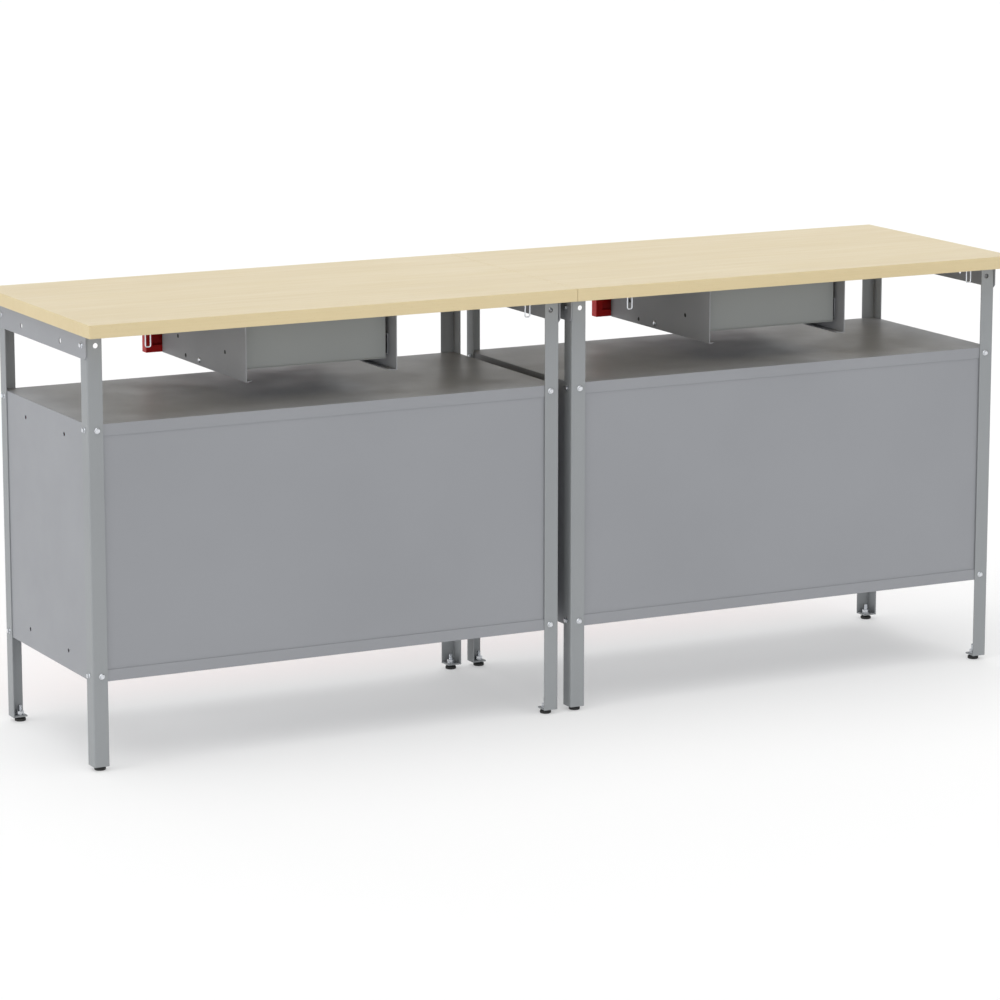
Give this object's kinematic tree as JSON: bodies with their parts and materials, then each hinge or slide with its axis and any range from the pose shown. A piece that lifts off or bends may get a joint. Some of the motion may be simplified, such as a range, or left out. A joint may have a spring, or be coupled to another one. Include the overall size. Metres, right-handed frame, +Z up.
{
  "type": "workbench with drawers",
  "caption": "Long two-part workbench with a beech top on steel angle legs, lower door cabinets with a shelf, hanging red-fronted drawers and levelling feet.",
  "frame": {"origin": "on the floor under the middle of the worktops", "axes": "+X to the right as seen from the front, +Y to the rear, +Z up; the drawers and doors open towards -Y"},
  "size_m": [1.9996, 0.545, 0.845],
  "materials": {
    "beech_top": "clear-lacquered beech plywood, satin",
    "grey_paint": "light grey powder coat, satin",
    "grey_leg": "light grey powder coat, satin",
    "red_paint": "red powder coat, satin",
    "zinc": "bright zinc plating",
    "black_plastic": "black nylon, fine texture"
  },
  "bodies": {
    "frame": {"left_bench_worktop": "beech_top", "left_bench_side_rail_left": "grey_paint", "left_bench_wire_loop_left": "zinc", "left_bench_side_rail_right": "grey_paint", "left_bench_wire_loop_right": "zinc", "left_bench_leg_front_left": "grey_leg", "left_bench_leg_front_right": "grey_leg", "left_bench_leg_rear_left": "grey_leg", "left_bench_leg_rear_right": "grey_leg", "left_bench_cabinet_bottom": "grey_paint", "left_bench_cabinet_top": "grey_paint", "left_bench_cabinet_back": "grey_paint", "left_bench_shelf": "grey_paint", "left_bench_cabinet_side_left": "grey_paint", "left_bench_cabinet_side_right": "grey_paint", "left_bench_drawer_hanger_left": "grey_paint", "left_bench_drawer_runner_left": "zinc", "left_bench_drawer_hanger_right": "grey_paint", "left_bench_drawer_runner_right": "zinc", "right_bench_worktop": "beech_top", "right_bench_side_rail_left": "grey_paint", "right_bench_wire_loop_left": "zinc", "right_bench_side_rail_right": "grey_paint", "right_bench_wire_loop_right": "zinc", "right_bench_leg_front_left": "grey_leg", "right_bench_leg_front_right": "grey_leg", "right_bench_leg_rear_left": "grey_leg", "right_bench_leg_rear_right": "grey_leg", "right_bench_cabinet_bottom": "grey_paint", "right_bench_cabinet_top": "grey_paint", "right_bench_cabinet_back": "grey_paint", "right_bench_shelf": "grey_paint", "right_bench_cabinet_side_left": "grey_paint", "right_bench_cabinet_side_right": "grey_paint", "right_bench_drawer_hanger_left": "grey_paint", "right_bench_drawer_runner_left": "zinc", "right_bench_drawer_hanger_right": "grey_paint", "right_bench_drawer_runner_right": "zinc"},
    "left_bench_foot_front_left": {"left_bench_foot_front_left": "black_plastic"},
    "left_bench_foot_front_right": {"left_bench_foot_front_right": "black_plastic"},
    "left_bench_foot_rear_left": {"left_bench_foot_rear_left": "black_plastic"},
    "left_bench_foot_rear_right": {"left_bench_foot_rear_right": "black_plastic"},
    "left_bench_door_left": {"left_bench_door_left": "red_paint"},
    "left_bench_door_right": {"left_bench_door_right": "red_paint"},
    "left_bench_lock": {"left_bench_lock_handle": "black_plastic", "left_bench_lock_cam": "zinc"},
    "left_bench_drawer": {"left_bench_drawer_box": "grey_paint", "left_bench_drawer_front": "red_paint", "left_bench_drawer_pull": "black_plastic"},
    "right_bench_foot_front_left": {"right_bench_foot_front_left": "black_plastic"},
    "right_bench_foot_front_right": {"right_bench_foot_front_right": "black_plastic"},
    "right_bench_foot_rear_left": {"right_bench_foot_rear_left": "black_plastic"},
    "right_bench_foot_rear_right": {"right_bench_foot_rear_right": "black_plastic"},
    "right_bench_door_left": {"right_bench_door_left": "red_paint"},
    "right_bench_door_right": {"right_bench_door_right": "red_paint"},
    "right_bench_lock": {"right_bench_lock_handle": "black_plastic", "right_bench_lock_cam": "zinc"},
    "right_bench_drawer": {"right_bench_drawer_box": "grey_paint", "right_bench_drawer_front": "red_paint", "right_bench_drawer_pull": "black_plastic"}
  },
  "joints": [
    {"name": "left_bench_foot_front_left_turn", "type": "hinge", "parent": "frame", "child": "left_bench_foot_front_left", "pos_m": [-0.968, -0.2095, 0], "axis": [0, 0, 1], "continuous": true},
    {"name": "left_bench_foot_front_right_turn", "type": "hinge", "parent": "frame", "child": "left_bench_foot_front_right", "pos_m": [-0.032, -0.2095, 0], "axis": [0, 0, 1], "continuous": true},
    {"name": "left_bench_foot_rear_left_turn", "type": "hinge", "parent": "frame", "child": "left_bench_foot_rear_left", "pos_m": [-0.968, 0.2045, 0], "axis": [0, 0, 1], "continuous": true},
    {"name": "left_bench_foot_rear_right_turn", "type": "hinge", "parent": "frame", "child": "left_bench_foot_rear_right", "pos_m": [-0.032, 0.2045, 0], "axis": [0, 0, 1], "continuous": true},
    {"name": "left_bench_door_left_swing", "type": "hinge", "parent": "frame", "child": "left_bench_door_left", "pos_m": [-0.943, -0.217, 0.41], "axis": [0, 0, -1], "range_deg": [0, 90]},
    {"name": "left_bench_door_right_swing", "type": "hinge", "parent": "frame", "child": "left_bench_door_right", "pos_m": [-0.057, -0.217, 0.41], "axis": [0, 0, 1], "range_deg": [0, 90]},
    {"name": "left_bench_lock_turn", "type": "hinge", "parent": "left_bench_door_right", "child": "left_bench_lock", "pos_m": [-0.4645, -0.226, 0.4115], "axis": [0, -1, 0], "range_deg": [0, 90]},
    {"name": "left_bench_drawer_slide", "type": "slide", "parent": "frame", "child": "left_bench_drawer", "axis": [0, -1, 0], "range_m": [0, 0.3]},
    {"name": "right_bench_foot_front_left_turn", "type": "hinge", "parent": "frame", "child": "right_bench_foot_front_left", "pos_m": [0.032, -0.2095, 0], "axis": [0, 0, 1], "continuous": true},
    {"name": "right_bench_foot_front_right_turn", "type": "hinge", "parent": "frame", "child": "right_bench_foot_front_right", "pos_m": [0.968, -0.2095, 0], "axis": [0, 0, 1], "continuous": true},
    {"name": "right_bench_foot_rear_left_turn", "type": "hinge", "parent": "frame", "child": "right_bench_foot_rear_left", "pos_m": [0.032, 0.2045, 0], "axis": [0, 0, 1], "continuous": true},
    {"name": "right_bench_foot_rear_right_turn", "type": "hinge", "parent": "frame", "child": "right_bench_foot_rear_right", "pos_m": [0.968, 0.2045, 0], "axis": [0, 0, 1], "continuous": true},
    {"name": "right_bench_door_left_swing", "type": "hinge", "parent": "frame", "child": "right_bench_door_left", "pos_m": [0.057, -0.217, 0.41], "axis": [0, 0, -1], "range_deg": [0, 90]},
    {"name": "right_bench_door_right_swing", "type": "hinge", "parent": "frame", "child": "right_bench_door_right", "pos_m": [0.943, -0.217, 0.41], "axis": [0, 0, 1], "range_deg": [0, 90]},
    {"name": "right_bench_lock_turn", "type": "hinge", "parent": "right_bench_door_right", "child": "right_bench_lock", "pos_m": [0.5355, -0.226, 0.4115], "axis": [0, -1, 0], "range_deg": [0, 90]},
    {"name": "right_bench_drawer_slide", "type": "slide", "parent": "frame", "child": "right_bench_drawer", "axis": [0, -1, 0], "range_m": [0, 0.3]}
  ]
}
